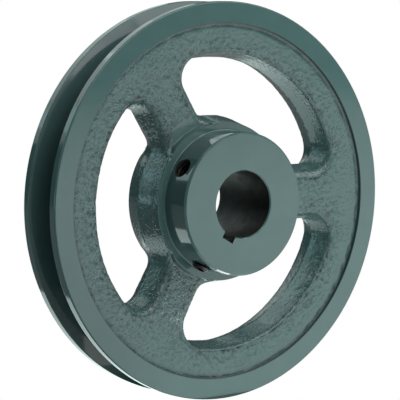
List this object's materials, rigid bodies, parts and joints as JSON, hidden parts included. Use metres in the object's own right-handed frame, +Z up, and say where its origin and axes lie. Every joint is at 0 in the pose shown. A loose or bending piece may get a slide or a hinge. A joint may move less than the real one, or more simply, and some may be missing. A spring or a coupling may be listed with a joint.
{
  "type": "v belt pulley",
  "caption": "Cast-iron V-belt pulley with one groove, spoked web, keyed bore and socket set screws in its hub.",
  "frame": {"origin": "on the shaft axis, at the middle of the belt groove", "axes": "Y is the shaft axis and the hub projects toward -Y; +Z is up; one spoke lies within a degree of +X"},
  "size_m": [0.1334, 0.0293, 0.1334],
  "materials": {
    "enamelled_iron": "glossy grey-green enamel over sand-cast and turned iron",
    "black_steel": "black oxide"
  },
  "bodies": {
    "pulley": {"pulley_casting": "enamelled_iron"},
    "key_screw": {"set_screw_over_key": "black_steel"},
    "side_screw": {"set_screw_side": "black_steel"}
  },
  "joints": [
    {"name": "key_screw_travel", "type": "slide", "parent": "pulley", "child": "key_screw", "axis": [-0.5299, 0, -0.848], "range_m": [-0.005, 0.0061]},
    {"name": "side_screw_travel", "type": "slide", "parent": "pulley", "child": "side_screw", "axis": [-0.848, 0, 0.5299], "range_m": [-0.0039, 0.0095]}
  ]
}
